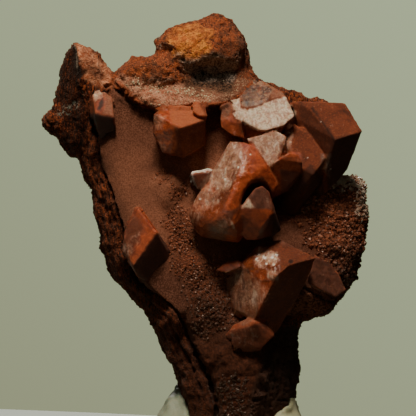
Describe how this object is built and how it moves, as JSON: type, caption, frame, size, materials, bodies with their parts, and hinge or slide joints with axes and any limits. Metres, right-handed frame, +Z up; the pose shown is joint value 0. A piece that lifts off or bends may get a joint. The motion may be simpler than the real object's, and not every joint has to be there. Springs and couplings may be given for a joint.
{
  "type": "calcite on matrix",
  "caption": "Mineral specimen: red-brown hematite-stained calcite crystals on an upright rusty ironstone slab, standing in mounting putty.",
  "frame": {"origin": "middle of the flat underside of the mounting putty, on the surface the specimen stands on", "axes": "+Z up along the slab's height, +X to the right when the crystal side is seen from the front, -Y out of the crystal side"},
  "size_m": [0.0651, 0.0337, 0.0868],
  "materials": {
    "matrix": "rusty matte ironstone with a druse crust",
    "central_crystals": "hematite-stained translucent calcite",
    "lower_crystals": "hematite-stained translucent calcite",
    "ledge_crystals": "hematite-stained translucent calcite",
    "flank_crystal": "hematite-stained translucent calcite",
    "horn_crystal": "hematite-stained translucent calcite",
    "wing_crystal": "hematite-stained matte calcite",
    "mounting_putty": "matte putty"
  },
  "bodies": {
    "root": {"matrix": "matrix", "central_crystals": "central_crystals", "lower_crystals": "lower_crystals", "ledge_crystals": "ledge_crystals", "flank_crystal": "flank_crystal", "horn_crystal": "horn_crystal", "wing_crystal": "wing_crystal", "mounting_putty": "mounting_putty"}
  },
  "joints": []
}
